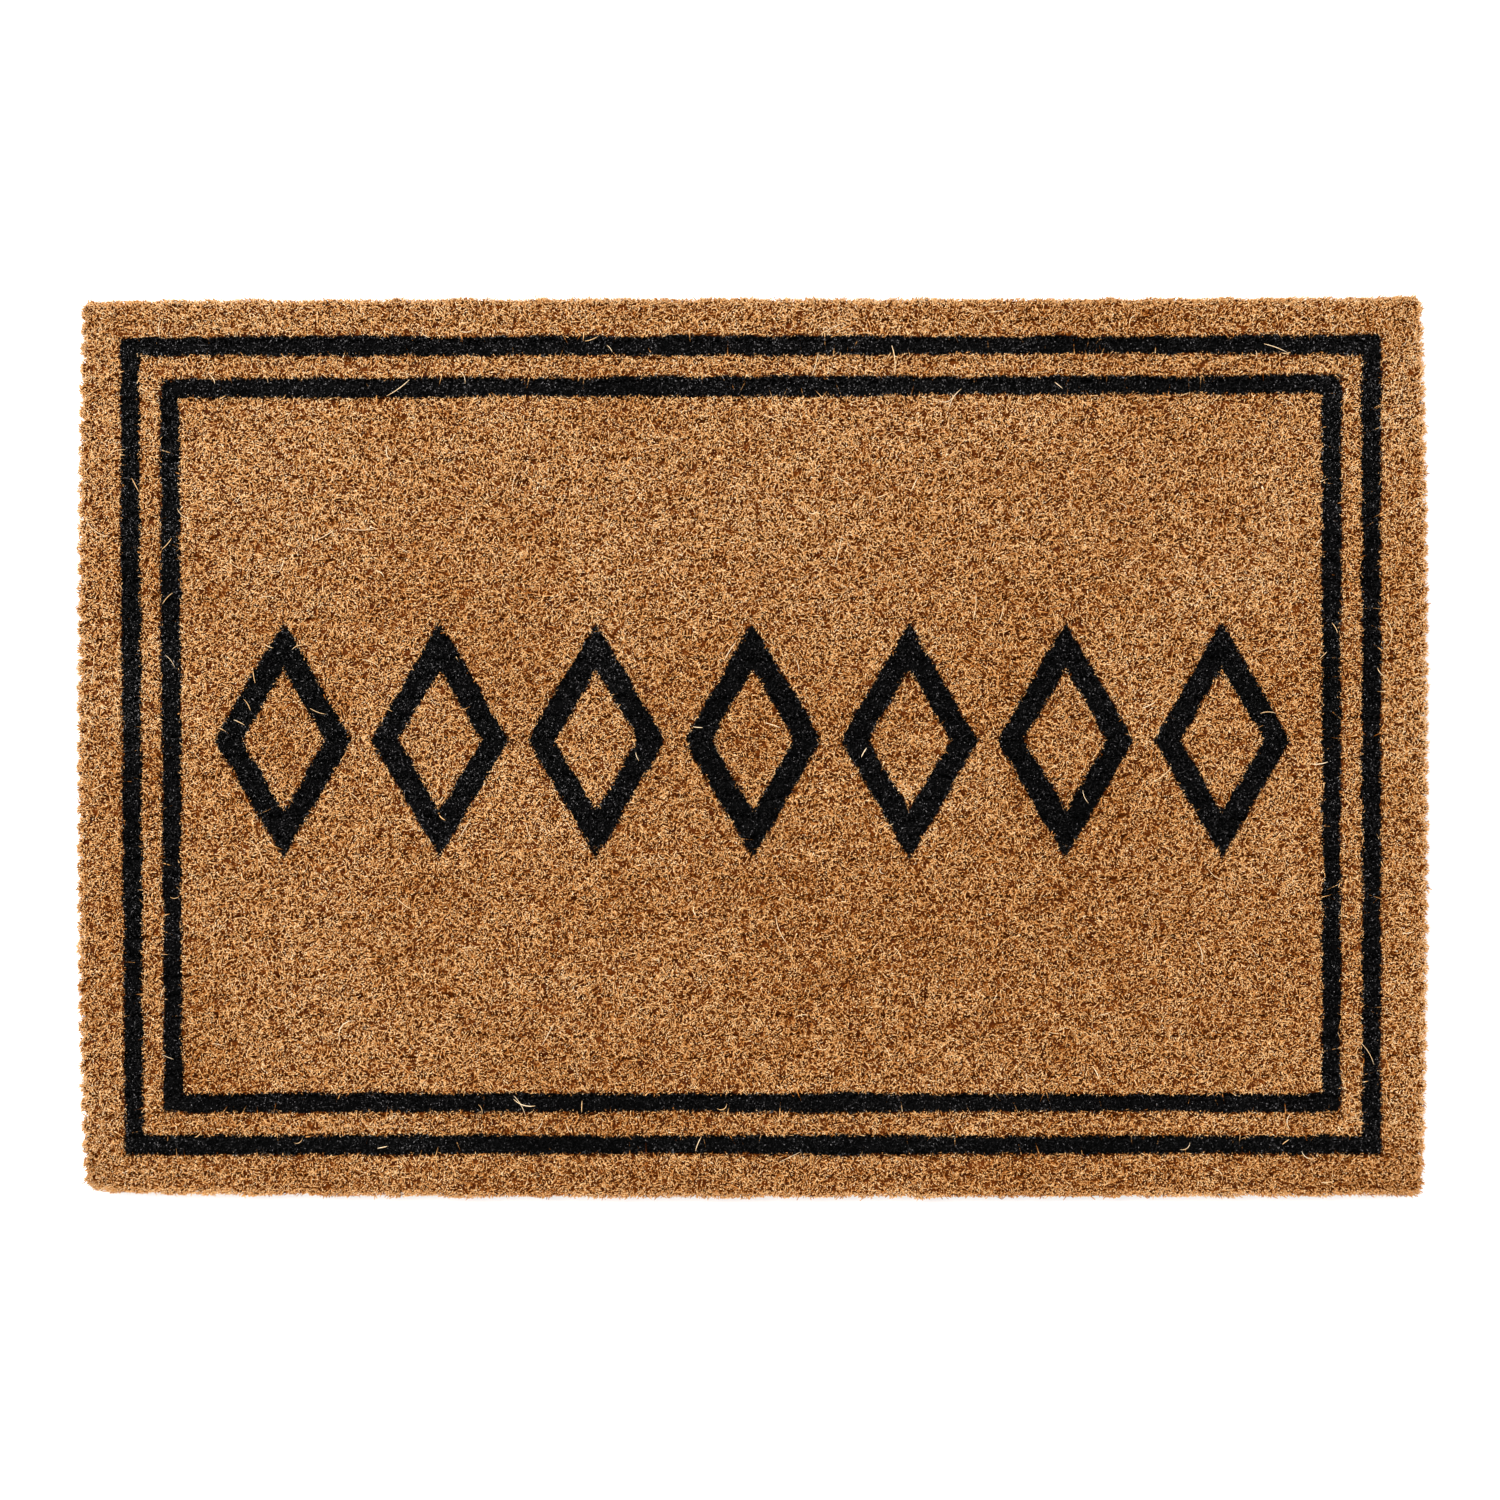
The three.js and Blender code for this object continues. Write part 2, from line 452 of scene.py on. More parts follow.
class Part:
    """Vertices, faces and attributes gathered for one mesh."""

    def __init__(self, inked=True, cut=True):
        self.inked = inked
        self.cut = cut
        self.points, self.tones, self.inks = [], [], []
        self.corners, self.sizes, self.uvs = [], [], []
        self.count = 0

    def add(self, points, tones, faces, scatter=0.0):
        """Adds points, (..., 3), and faces, a list of corners, (count, sides), with their uvs."""
        self.points.append(points.reshape(-1, 3))
        self.tones.append(np.broadcast_to(tones, points.shape[:-1]).ravel())
        if self.inked:
            ink = (print_depths(points[..., 0], points[..., 1]).max(axis=0) + scatter) / MM
        else:
            ink = np.full(points.shape[:-1], UNPRINTED)
        self.inks.append(ink.ravel())
        for corners, uvs in faces:
            self.corners.append(corners.ravel() + self.count)
            self.sizes.append(np.full(len(corners), corners.shape[1]))
            self.uvs.append(uvs.reshape(-1, 2))
        self.count += points.size // 3

    def mesh(self, name):
        points = np.concatenate(self.points)
        if self.cut:
            points = trimmed(points)
        corners, sizes = np.concatenate(self.corners), np.concatenate(self.sizes)
        starts = np.concatenate([[0], np.cumsum(sizes)[:-1]])
        made = bpy.data.meshes.new(name)
        made.vertices.add(len(points))
        made.vertices.foreach_set("co", points.astype(np.float32).ravel())
        made.loops.add(len(corners))
        made.loops.foreach_set("vertex_index", corners.astype(np.int32))
        made.polygons.add(len(sizes))
        made.polygons.foreach_set("loop_start", starts.astype(np.int32))
        made.update(calc_edges=True)
        # The tone attribute holds each strand's own tone times its painted shade.
        for key, values in (("tone", self.tones), ("ink", self.inks)):
            layer = made.attributes.new(key, "FLOAT", "POINT")
            layer.data.foreach_set("value", np.concatenate(values).astype(np.float32))
        uv = made.uv_layers.new(name=UV_NAME)
        uv.data.foreach_set("uv", np.concatenate(self.uvs).astype(np.float32).ravel())
        made.shade_smooth()
        return made


class Cells:
    """Square cells of a piece's UV map above its bottom band, one for each strand."""

    def __init__(self, count, bottom):
        self.columns = max(1, math.ceil(math.sqrt(count / (1 - bottom))))
        self.size = 1 / self.columns
        self.bottom = bottom
        self.used = 0

    def take(self, count):
        """The lower left corners of the next cells."""
        number = np.arange(self.used, self.used + count)
        self.used += count
        across = number % self.columns * self.size
        up = self.bottom + number // self.columns * self.size
        return np.stack([across, up], axis=-1)


def piece(name, part, material):
    made = bpy.data.objects.new(name, part.mesh(name))
    made.data.materials.append(material)
    bpy.context.scene.collection.objects.link(made)
    return made


# ---------------------------------------------------------------- strands


def strand_points(paths, radii, pointed):
    """A three-sided ring around each point of each path. A pointed strand's first is one point."""
    count = len(paths)
    along = unit(paths[:, -1] - paths[:, 0])
    aside = unit(np.cross(along, rng.normal(size=(count, 3))))
    across = np.cross(along, aside)
    turn = np.arange(STRAND_SIDES) * math.tau / STRAND_SIDES
    spokes = np.cos(turn)[:, None] * aside[:, None] + np.sin(turn)[:, None] * across[:, None]
    points = paths[:, :, None] + radii[:, :, None, None] * spokes[:, None]
    points = points.reshape(count, -1, 3)
    if pointed:
        points = np.concatenate([paths[:, :1], points[:, STRAND_SIDES:]], axis=1)
    return points


def strand_faces(rings, pointed):
    """One strand's sides, root and tip, each as the corners of its faces and their uvs."""

    def number(ring, side):
        if not pointed:
            return ring * STRAND_SIDES + side
        return np.where(ring == 0, 0, (ring - 1) * STRAND_SIDES + 1 + side)

    sides = np.arange(STRAND_SIDES)
    afters = (sides + 1) % STRAND_SIDES
    low_ring = 1 if pointed else 0
    ring, side = np.meshgrid(np.arange(low_ring, rings - 1), sides, indexing="ij")
    ring, side = ring.ravel(), side.ravel()
    after = (side + 1) % STRAND_SIDES
    low_corners = [number(ring, side), number(ring, after)]
    high_corners = [number(ring + 1, after), number(ring + 1, side)]
    quads = np.stack(low_corners + high_corners, axis=-1)
    u = np.stack([side, side + 1, side + 1, side], axis=-1) / STRAND_SIDES
    v = np.stack([ring, ring, ring + 1, ring + 1], axis=-1) / (rings - 1)
    quad_uv = np.stack([u, CELL_END + v * (1 - 2 * CELL_END)], axis=-1)

    tip = number(np.array(rings - 1), sides)[None]
    tip_uv = [0, 1] + END_TRIANGLE[None] * [1, -CELL_END]
    if pointed:
        first = np.array(1)
        root = np.stack([0 * sides, number(first, afters), number(first, sides)], axis=-1)
        root_u = np.stack([sides + 0.5, sides + 1, sides], axis=-1) / STRAND_SIDES
        first_v = CELL_END + (1 - 2 * CELL_END) / (rings - 1)
        root_v = np.broadcast_to([CELL_END, first_v, first_v], root_u.shape)
        root_uv = np.stack([root_u, root_v], axis=-1)
    else:
        root = sides[None, ::-1]
        root_uv = END_TRIANGLE[None] * [1, CELL_END]
    return (quads, quad_uv), (root, root_uv), (tip, tip_uv)


def add_strands(part, cells, paths, radii, tones, painted_shade_height, darkest_painted_shade, pointed):
    """Adds one closed three-sided prism along each path, (count, rings, 3), to part.

    A strand is painted darker towards its root as painted shade, down to its lowest share at the
    given height and below. A pointed one has a point for its root, which is buried in the core.
    """
    count, rings, _ = paths.shape
    if count == 0:
        return
    points = strand_points(paths, radii, pointed)
    first = np.arange(count)[:, None, None] * points.shape[1]
    cell = cells.take(count)[:, None, None]
    faces = []
    for corners, uv in strand_faces(rings, pointed):
        sides = corners.shape[1]
        uv = cell + cells.size * (CELL_MARGIN + (1 - 2 * CELL_MARGIN) * uv)
        faces.append(((corners + first).reshape(-1, sides), uv.reshape(-1, sides, 2)))
    # Painted shade: each strand is painted darker low down, in the gaps between strands, and pale
    # at its tip.
    height = np.interp(points[..., 2], (painted_shade_height, pile_top - TIP_SCATTER), (0, 1))
    painted_shades = darkest_painted_shade + (1 - darkest_painted_shade) * height**PAINTED_SHADE_POWER
    scatter = rng.normal(scale=PRINT_SCATTER, size=(count, 1))
    part.add(points, tones[:, None] * painted_shades, faces, scatter)


def tuft_lattice():
    """The tufts' middles, (lines, places, 2): two staggered lines to a row, each a little off."""
    lines = np.arange(-1, 2 * len(row_names) + 1)[:, None]
    places = np.arange(-1, math.ceil(2 * half_length / TUFT_STEP) + 1)[None]
    x = (places + TUFT_START + TUFT_STAGGER * (lines % 2)) * TUFT_STEP - half_length
    y = np.broadcast_to((lines + 0.5) * row_pitch / 2 - half_width, x.shape)
    jitter = rng.uniform(-TUFT_JITTER, TUFT_JITTER, (*x.shape, 2))
    return np.stack([x, y], axis=-1) + jitter


def from_tuft(base, tufts):
    """Each point's offset from the middle of the tuft nearest to it."""
    line = np.floor((base[:, 1] + half_width) * 2 / row_pitch).astype(int) + 1
    place = np.floor((base[:, 0] + half_length) / TUFT_STEP).astype(int) + 1
    best = np.full(base.shape, np.inf)
    for step_line in (-1, 0, 1):
        for step_place in (-1, 0, 1):
            offset = base - tufts[line + step_line, place + step_place]
            nearer = (offset**2).sum(axis=-1) < (best**2).sum(axis=-1)
            best[nearer] = offset[nearer]
    return best


def top_paths(row, tufts):
    """Paths of three points for the strands that show on one row's top."""
    low, high = row_boxes[row]
    length = half_length + CORE_PAST
    count = round(2 * length / STRAND_STEP)
    i, j = np.meshgrid(np.arange(count), np.arange(STRANDS_ACROSS), indexing="ij")
    i = i.ravel() + rng.random(i.size)
    j = j.ravel() + rng.random(j.size)
    x = -length + 2 * length * i / count
    y = (low[1] + high[1]) / 2 + (j / STRANDS_ACROSS - 0.5) * row_pitch
    y = np.clip(y, CORE_INSET - half_width, half_width - CORE_INSET)
    base = np.stack([x, y], axis=-1)
    offset = from_tuft(base, tufts)
    base_z = core_height(x, y) - ROOT_DEPTH
    rim = np.minimum((offset**2).sum(axis=-1) / TUFT_RADIUS**2, DOME_LIMIT)
    tip_z = pile_top - np.abs(rng.normal(scale=TIP_SCATTER, size=len(base))) - TUFT_DOME * rim

    tilt = np.abs(rng.normal(scale=math.radians(TILT_DEGREES), size=len(base)))
    tilt = np.minimum(tilt, math.radians(STEEPEST_TILT_DEGREES))
    heading = rng.uniform(0, math.tau, len(base))
    way = np.stack([np.cos(heading), np.sin(heading)], axis=-1)
    comb = [patches(x, y, COMB_SIZE, seed) for seed in (COMB_X_SEED, COMB_Y_SEED)]
    lean = ((tip_z - base_z) * np.tan(tilt))[:, None]
    tip = base - GATHER * offset + lean * (way + COMB * np.stack(comb, axis=-1))

    past = rng.uniform(-1, 1, tip.shape) * EDGE_OVERHANG
    edge = np.column_stack([end_edge(tip[:, 1]), long_edge(tip[:, 0])]) + past
    reach = np.abs(tip)
    tip = np.sign(tip) * np.where(reach > edge, 2 * edge - reach, reach)
    start = np.column_stack([base, base_z])
    end = np.column_stack([tip, tip_z])
    middle = (start + end) / 2 + rng.normal(scale=BEND, size=start.shape)
    return np.stack([start, middle, end], axis=1)


def upright_paths(foot, outward):
    """Full-height paths of four points from each foot, (count, 2), that lean along outward."""
    count = len(foot)
    lean = rng.normal(SIDE_LEAN, SIDE_LEAN / 2, count)
    stray = rng.random(count) < STRAY_SHARE
    lean = np.where(stray, lean + rng.uniform(0, STRAY_LEAN, count), lean)
    sideways = np.stack([-outward[:, 1], outward[:, 0]], axis=-1)
    along = (foot * sideways).sum(axis=-1)
    clump = patches(along, foot @ CLUMP_ACROSS, SIDE_CLUMP, CLUMP_SEED)
    drift = rng.normal(scale=SIDE_SCATTER, size=count) + SIDE_SCATTER * clump
    belly = rng.uniform(-SIDE_BELLY, SIDE_BELLY, count)
    top = pile_top - np.abs(rng.normal(scale=SIDE_TIP_SCATTER, size=count))
    rise = top - pile_foot + FOOT_SINK
    points = []
    for share in SIDE_STATIONS:
        bow = math.sin(math.pi * share)
        out = lean * share**SIDE_LEAN_POWER + belly * bow
        at = foot + outward * out[:, None] + sideways * (drift * share)[:, None]
        at = at + rng.normal(scale=SIDE_KINK * bow, size=at.shape)
        points.append(np.column_stack([at, pile_foot - FOOT_SINK + share * rise]))
    return np.stack(points, axis=1)


def inward(count):
    """How far behind the outermost feet each side strand stands."""
    return SIDE_LAYERS * (1 - np.sqrt(rng.random(count)))


def side_paths(row):
    """Upright paths at a row's two ends, and along its side if it is an outer row."""
    low, high = row_boxes[row]
    found = []
    count = int(row_pitch / SIDE_STEP)
    for end in (-1, 1):
        t = rng.uniform(-1, 1, count)
        behind = SIDE_SETBACK + inward(count)
        y = (low[1] + high[1]) / 2 + t * row_pitch / 2
        x = end * (end_edge(y) - behind)
        outward = np.column_stack([np.full(count, float(end)), END_FAN * t])
        found.append(upright_paths(np.column_stack([x, y]), unit(outward)))
    count = int(2 * half_length / SIDE_STEP)
    for outer, side in ((0, -1), (len(row_names) - 1, 1)):
        if row != outer:
            continue
        x = rng.uniform(-half_length + CORE_INSET, half_length - CORE_INSET, count)
        behind = SIDE_SETBACK + inward(count)
        y = side * (long_edge(x) - behind)
        outward = np.column_stack([EDGE_FAN * rng.normal(size=count), np.full(count, float(side))])
        found.append(upright_paths(np.column_stack([x, y]), unit(outward)))
    return np.concatenate(found)


def loose_paths(count, lengths):
    """Curved paths of six points that lie on the pile."""
    length = rng.uniform(*lengths, count)
    curl = rng.normal(scale=LOOSE_CURL, size=count)
    heading = rng.uniform(0, math.tau, count)
    x = rng.uniform(-half_length + LOOSE_MARGIN, half_length - LOOSE_MARGIN, count)
    y = rng.uniform(-half_width + LOOSE_MARGIN, half_width - LOOSE_MARGIN, count)
    points = []
    for share in np.linspace(-0.5, 0.5, len(LOOSE_TAPER)):
        way = heading + curl * share
        droop = LOOSE_DROOP * share**2 * rng.uniform(*LOOSE_DROOP_RANGE, count)
        at_x = x + length * share * np.cos(way)
        at_y = y + length * share * np.sin(way)
        points.append(np.column_stack([at_x, at_y, pile_top + LOOSE_LIFT - droop]))
    return np.stack(points, axis=1)


class TopStrands:
    """The strands on top of all the rows, shared out between the rows and the print's pieces."""

    def __init__(self):
        tufts = tuft_lattice()
        rows = [top_paths(row, tufts) for row in range(len(row_names))]
        self.row = np.repeat(np.arange(len(rows)), [len(r) for r in rows])
        self.paths = np.concatenate(rows)
        x, y = self.paths[:, -1, 0], self.paths[:, -1, 1]
        depths = print_depths(x, y)
        self.printed = np.where(depths.max(axis=0) > 0, depths.argmax(axis=0), -1)
        self.bent = rng.random(len(self.paths)) < BENT_SHARE
        self.radius = rng.uniform(*STRAND_RADIUS, len(self.paths))
        self.tones = strand_tones(x, y)

    def add(self, part, cells, chosen):
        """Adds the chosen strands, the straight ones without their middle point."""
        for which, points in ((chosen & self.bent, [0, 1, 2]), (chosen & ~self.bent, [0, 2])):
            paths = self.paths[which][:, points]
            radii = self.radius[which][:, None] * np.linspace(1, TIP_TAPER, len(points))
            tones = self.tones[which]
            # The painted shade of the gaps is deepest at the lowest core top and below.
            painted_shade_height = core_top - CORE_BUMP
            add_strands(part, cells, paths, radii, tones, painted_shade_height, PAINTED_GAP_SHADE, pointed=True)


# ---------------------------------------------------------------- cores and backing


def add_core(part, row):
    """A row's rough body: rings across it, swept from end to end and closed by two end faces."""
    length = half_length + CORE_PAST
    steps = int(2 * length / CORE_STEP)
    s = np.linspace(-1, 1, steps + 1)[:, None]
    t = np.array(CORE_STATIONS)[None]
    x = s * (length - END_ROUND * (2 * t - 1) ** 2)
    low = seam(x, row) + SEAM_GAP / 2
    high = seam(x, row + 1) - SEAM_GAP / 2
    y = low * (1 - t) + high * t
    z = core_height(x, y) - SEAM_DEPTH * (2 * t - 1) ** SEAM_POWER
    crown = np.stack([x, y, z], axis=-1)
    foot = crown[:, [-1, 0]].copy()
    foot[..., 2] = pile_foot - FOOT_SINK
    points = np.concatenate([crown, foot], axis=1)
    rings, sides = points.shape[:2]

    i, j = np.meshgrid(np.arange(rings - 1), np.arange(sides), indexing="ij")
    i, j = i.ravel(), j.ravel()
    k = (j + 1) % sides
    quads = [i * sides + j, (i + 1) * sides + j, (i + 1) * sides + k, i * sides + k]
    u = np.stack([i, i + 1, i + 1, i], axis=-1) / rings
    v = np.stack([j, j, j + 1, j + 1], axis=-1) / sides * CORE_BAND * CORE_BAND_FILL
    first = np.arange(sides)[None]
    last = first[:, ::-1] + (rings - 1) * sides
    end_uv = np.array([1 - 0.5 / rings, CORE_BAND * CORE_END_HEIGHT])
    circle = np.stack([np.cos(first), np.sin(first)], axis=-1)
    end_uv = end_uv + circle * CORE_END_RADIUS / rings

    # The cores are painted dark brown: deep coir's tone with the painted shade of the gaps in it.
    tones = rng.uniform(*CORE_TONES_WITH_PAINTED_SHADE, points.shape[:2])
    sweep = np.stack(quads, axis=-1), np.stack([u, v], axis=-1)
    part.add(points, tones, [sweep, (first, end_uv), (last, end_uv)])


def backing_faces(number, rim, share):
    """The backing's two gridded faces and its rim, which bulges along a line half-way up.

    number holds the lower grid's vertex numbers, rim those around it, and share the place of each
    of its vertices in it, from 0 to 1. The upper grid comes next, and the rim's line comes last.
    """
    near, far = number[:-1, :-1].ravel(), number[1:, 1:].ravel()
    right, ahead = number[1:, :-1].ravel(), number[:-1, 1:].ravel()
    under = np.stack([near, ahead, far, right], axis=-1)
    over = np.stack([near, right, far, ahead], axis=-1) + number.size
    faces = []
    for corners, place in zip((under, over), BACKING_PLACES):
        faces.append((corners, share[corners % number.size] * BACKING_SPAN + place))

    edge = np.arange(len(rim)) + 2 * number.size
    next_rim, next_edge = np.roll(rim, -1), np.roll(edge, -1)
    low_band = np.stack([rim, next_rim, next_edge, edge], axis=-1)
    high_band = np.stack([edge, next_edge, next_rim + number.size, rim + number.size], axis=-1)
    along = np.arange(len(rim)) / len(rim)
    after = along + 1 / len(rim)
    u = np.stack([along, after, after, along], axis=-1)
    for corners, height in zip((low_band, high_band), RIM_HEIGHTS):
        v = height + np.array([0, 0, RIM_BAND, RIM_BAND])
        faces.append((corners, np.stack([u, np.broadcast_to(v, u.shape)], axis=-1)))
    return faces


def add_backing(part):
    """A slab on a fine grid, with gently uneven faces and a slightly bulging cut edge."""
    (low_x, low_y, low_z), (high_x, high_y, high_z) = backing_low, backing_high
    columns = np.linspace(low_x, high_x, round((high_x - low_x) / BACKING_STEP) + 1)
    rows = np.linspace(low_y, high_y, round((high_y - low_y) / BACKING_STEP) + 1)
    x, y = np.meshgrid(columns, rows, indexing="ij")
    for side_x, side_y in CORNERS:
        x, y = rounded(x, y, side_x, side_y, high_x, high_y, BACKING_CORNER)
    under = BACKING_WAVE * (1 + patches(x, y, UNDER_WAVE_SIZE, VINYL_UNDER_SEED))
    over = BACKING_WAVE * patches(x, y, OVER_WAVE_SIZE, VINYL_OVER_SEED)
    bottom = np.stack([x, y, low_z + under], axis=-1).reshape(-1, 3)
    top = np.stack([x, y, high_z - BACKING_WAVE + over], axis=-1).reshape(-1, 3)
    number = np.arange(x.size).reshape(x.shape)
    rim = [number[:-1, 0], number[-1, :-1], number[:0:-1, -1], number[0, :0:-1]]
    rim = np.concatenate(rim)
    middle = (bottom[rim] + top[rim]) / 2
    middle[:, :2] *= 1 + BACKING_BULGE / np.linalg.norm(middle[:, :2], axis=1, keepdims=True)
    points = np.concatenate([bottom, top, middle])
    share = (bottom[:, :2] - [low_x, low_y]) / [high_x - low_x, high_y - low_y]
    part.add(points, np.ones(len(points)), backing_faces(number, rim, share))


# ---------------------------------------------------------------- materials


def nodes_of(name, roughness, specular):
    made = bpy.data.materials.new(name)
    made.use_nodes = True
    shader = made.node_tree.nodes["Principled BSDF"]
    shader.inputs["Roughness"].default_value = roughness
    shader.inputs["Specular IOR Level"].default_value = specular
    return made, made.node_tree, shader


def attribute(tree, name):
    node = tree.nodes.new("ShaderNodeAttribute")
    node.attribute_name = name
    return node.outputs["Fac"]


def linear(level):
    """The linear value of an sRGB level from 0 to 255."""
    level = level / 255
    return level / 12.92 if level <= 0.04045 else ((level + 0.055) / 1.055) ** 2.4


def ramp(tree, value, stops):
    """A colour ramp through stops, each (place, sRGB colour from 0 to 255)."""
    node = tree.nodes.new("ShaderNodeValToRGB")
    while len(node.color_ramp.elements) < len(stops):
        node.color_ramp.elements.new(0.5)
    for element, (place, colour) in zip(node.color_ramp.elements, stops):
        element.position = place
        element.color = (*[linear(c) for c in colour], 1)
    tree.links.new(value, node.inputs["Fac"])
    return node.outputs["Color"]


def remapped(tree, value, source, target):
    """Moves the range source, (low, high), to the range target, and stays inside it."""
    node = tree.nodes.new("ShaderNodeMapRange")
    node.inputs["From Min"].default_value, node.inputs["From Max"].default_value = source
    node.inputs["To Min"].default_value, node.inputs["To Max"].default_value = target
    tree.links.new(value, node.inputs["Value"])
    return node.outputs["Result"]


def noise(tree, scale, detail=2.0):
    """Noise in the object's own coordinates, with about scale cells to a metre."""
    place = tree.nodes.new("ShaderNodeTexCoord")
    node = tree.nodes.new("ShaderNodeTexNoise")
    node.inputs["Scale"].default_value = scale
    node.inputs["Detail"].default_value = detail
    tree.links.new(place.outputs["Object"], node.inputs["Vector"])
    return node.outputs["Fac"]


def reckoned(tree, operation, first, second):
    node = tree.nodes.new("ShaderNodeMath")
    node.operation = operation
    tree.links.new(first, node.inputs[0])
    tree.links.new(second, node.inputs[1])
    return node.outputs["Value"]


def blended(tree, share, first, second):
    """A mixture of two colours, all second where share is 1."""
    node = tree.nodes.new("ShaderNodeMix")
    node.data_type = "RGBA"
    tree.links.new(share, node.inputs["Factor"])
    for name, colour in (("A", first), ("B", second)):
        socket = next(s for s in node.inputs if s.name == name and s.type == "RGBA")
        tree.links.new(colour, socket)
    return next(s for s in node.outputs if s.type == "RGBA")


def bumped(tree, shader, value, strength, distance):
    node = tree.nodes.new("ShaderNodeBump")
    node.inputs["Strength"].default_value = strength
    node.inputs["Distance"].default_value = distance
    tree.links.new(value, node.inputs["Height"])
    tree.links.new(node.outputs["Normal"], shader.inputs["Normal"])


def coir_material(name):
    """Coir strands: tinted one by one, painted darker in the gaps as painted shade, dyed black
    where the print covers them.
    """
    made, tree, shader = nodes_of(name, roughness=0.62, specular=0.25)
    grain = noise(tree, GRAIN_SCALE)
    tint = remapped(tree, grain, NOISE_RANGE, GRAIN_TINT)
    # The tone attribute carries the painted shade of the gaps as well as each strand's own tone.
    tone = reckoned(tree, "MULTIPLY", attribute(tree, "tone"), tint)
    fuzz = remapped(tree, grain, NOISE_RANGE, (-PRINT_FUZZ / MM, PRINT_FUZZ / MM))
    edge = reckoned(tree, "ADD", attribute(tree, "ink"), fuzz)
    dye = remapped(tree, edge, DYE_EDGE, (0, 1))
    colour = blended(tree, dye, ramp(tree, tone, COIR_STOPS), ramp(tree, tone, DYED_STOPS_WITH_PAINTED_HIGHLIGHTS))
    roughness = remapped(tree, grain, NOISE_RANGE, ROUGHNESS_RANGE)
    gloss = remapped(tree, tone, PALE_TONES, COIR_GLOSS)
    tree.links.new(colour, shader.inputs["Base Color"])
    tree.links.new(roughness, shader.inputs["Roughness"])
    tree.links.new(gloss, shader.inputs["Specular IOR Level"])
    bumped(tree, shader, grain, *GRAIN_BUMP)
    return made


def vinyl_material():
    """Poured vinyl: pale, speckled and slightly uneven."""
    made, tree, shader = nodes_of("pale_vinyl", roughness=0.6, specular=0.4)
    speckle = noise(tree, SPECKLE_SCALE, SPECKLE_DETAIL)
    roughness = remapped(tree, speckle, NOISE_RANGE, ROUGHNESS_RANGE)
    tree.links.new(ramp(tree, speckle, VINYL_STOPS), shader.inputs["Base Color"])
    tree.links.new(roughness, shader.inputs["Roughness"])
    bumped(tree, shader, noise(tree, VINYL_GRAIN_SCALE, VINYL_GRAIN_DETAIL), *VINYL_BUMP)
    return made


# ---------------------------------------------------------------- the mat's pieces


def make_row(row):
    part = Part()
    chosen = (tops.row == row) & (tops.printed < 0)
    sides = side_paths(row)
    cells = Cells(chosen.sum() + len(sides), CORE_BAND)
    add_core(part, row)
    tops.add(part, cells, chosen)
    radii = rng.uniform(*STRAND_RADIUS, len(sides))[:, None]
    radii = radii * np.linspace(1, TIP_TAPER, len(SIDE_STATIONS))
    # Side strands: painted a little darker all over, and painted darker still towards their feet,
    # as painted shade.
    tones = SIDE_RIM_PAINTED_SHADE * strand_tones(sides[:, -1, 0], sides[:, -1, 1])
    add_strands(part, cells, sides, radii, tones, pile_foot, PAINTED_SIDE_SHADE, pointed=False)
    made = piece(row_names[row] + "_strands", part, coir)
    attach(made, "root")
    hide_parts(row_names[row])


def make_print(index, name):
    part = Part()
    chosen = tops.printed == index
    tops.add(part, Cells(chosen.sum(), 0.0), chosen)
    made = piece(name + "_strands", part, black)
    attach(made, "root")
    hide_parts(name)


def make_loose():
    part = Part(inked=False)
    found = [loose_paths(count, lengths) for count, lengths, _ in LOOSE_KINDS]
    cells = Cells(sum(len(paths) for paths in found), 0.0)
    for paths, (count, _, tone_range) in zip(found, LOOSE_KINDS):
        radii = rng.uniform(*LOOSE_RADIUS, count)[:, None] * LOOSE_TAPER
        tones = rng.uniform(*tone_range, count)
        # Loose strands take the sides' painted shade, which leaves them pale as they lie on top.
        add_strands(part, cells, paths, radii, tones, pile_foot, PAINTED_SIDE_SHADE, pointed=False)
    made = piece("loose_strands", part, coir)
    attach(made, "root")


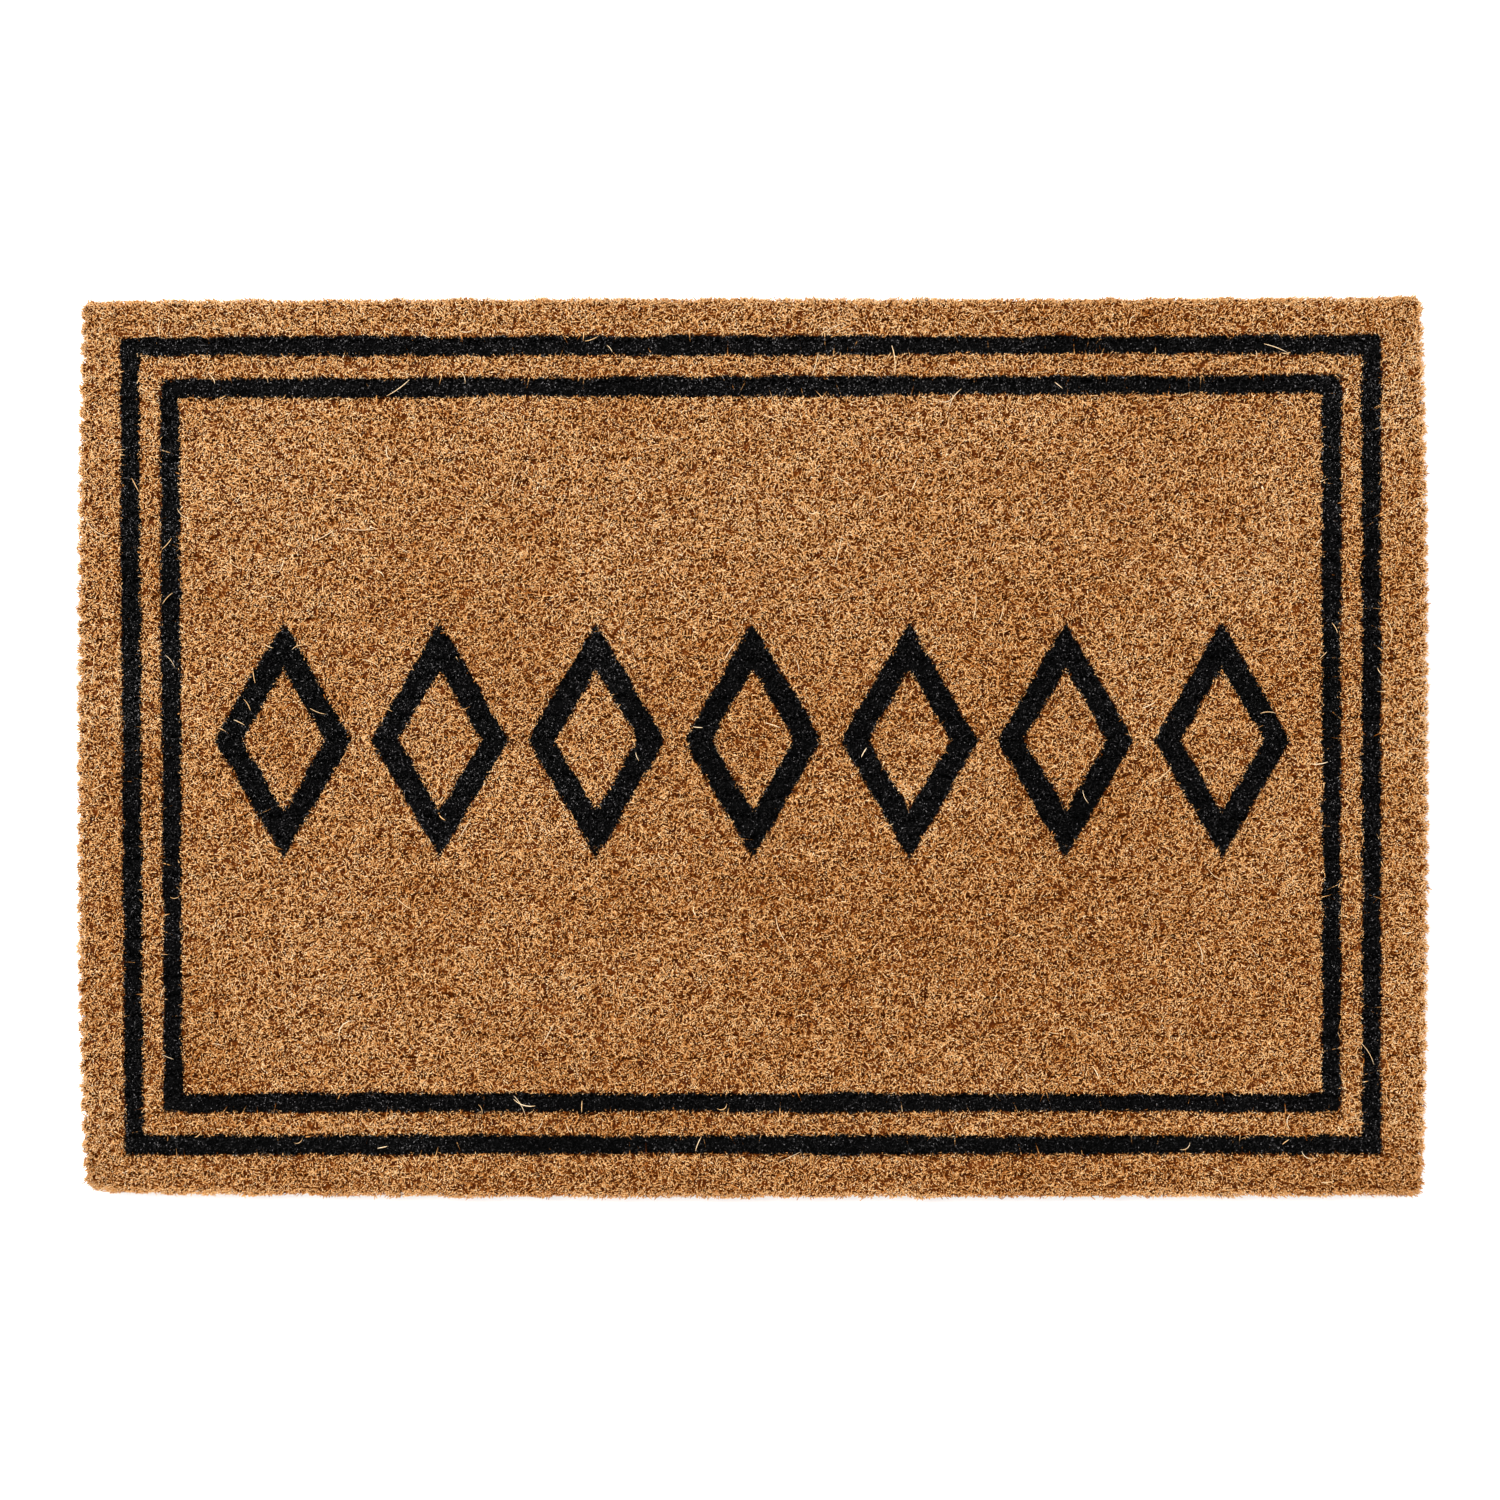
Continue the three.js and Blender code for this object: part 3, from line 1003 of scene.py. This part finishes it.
def make_backing():
    part = Part(inked=False, cut=False)
    add_backing(part)
    made = piece("vinyl_backing_sheet", part, vinyl)
    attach(made, "root")
    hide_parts("vinyl_backing")


# ---------------------------------------------------------------- stage, light and camera


def floor():
    mesh = bpy.data.meshes.new("floor")
    signs = ((-1, -1), (1, -1), (1, 1), (-1, 1))
    corners = [(x * FLOOR_REACH, y * FLOOR_REACH, 0) for x, y in signs]
    mesh.from_pydata(corners, [], [(0, 1, 2, 3)])
    made = bpy.data.objects.new("floor", mesh)
    bpy.context.scene.collection.objects.link(made)
    material, _, shader = nodes_of("pale_floor", roughness=0.9, specular=0.1)
    shader.inputs["Base Color"].default_value = (FLOOR_GREY, FLOOR_GREY, FLOOR_GREY, 1)
    made.data.materials.append(material)


def world(strength):
    made = bpy.data.worlds.new("studio")
    made.use_nodes = True
    background = made.node_tree.nodes["Background"]
    background.inputs["Color"].default_value = (1, 1, 1, 1)
    background.inputs["Strength"].default_value = strength
    bpy.context.scene.world = made


def area_light(name, place, size, power):
    """A round light that faces the mat."""
    data = bpy.data.lights.new(name, "AREA")
    data.shape = "DISK"
    data.size = size
    data.energy = power
    made = bpy.data.objects.new(name, data)
    made.location = place
    made.rotation_mode = "QUATERNION"
    made.rotation_quaternion = (-made.location).to_track_quat("-Z", "Y")
    bpy.context.scene.collection.objects.link(made)


def camera():
    """Looks straight down, as the photograph does."""
    data = bpy.data.cameras.new("camera")
    data.lens = LENS
    data.sensor_width = SENSOR
    made = bpy.data.objects.new("camera", data)
    made.location = (*AIM, pile_top + FRAME_WIDTH * LENS / SENSOR)
    bpy.context.scene.collection.objects.link(made)
    bpy.context.scene.camera = made


# ---------------------------------------------------------------- building

coir = coir_material("coir")
black = coir_material("dyed_coir")
vinyl = vinyl_material()
tops = TopStrands()

for row in range(len(row_names)):
    make_row(row)
for index, name in enumerate(frame_names + lozenge_names):
    make_print(index, name)
make_loose()
make_backing()

floor()
world(WORLD_STRENGTH)
area_light("key", KEY_PLACE, KEY_SIZE, KEY_POWER)
camera()
bpy.context.scene.view_settings.view_transform = "Standard"
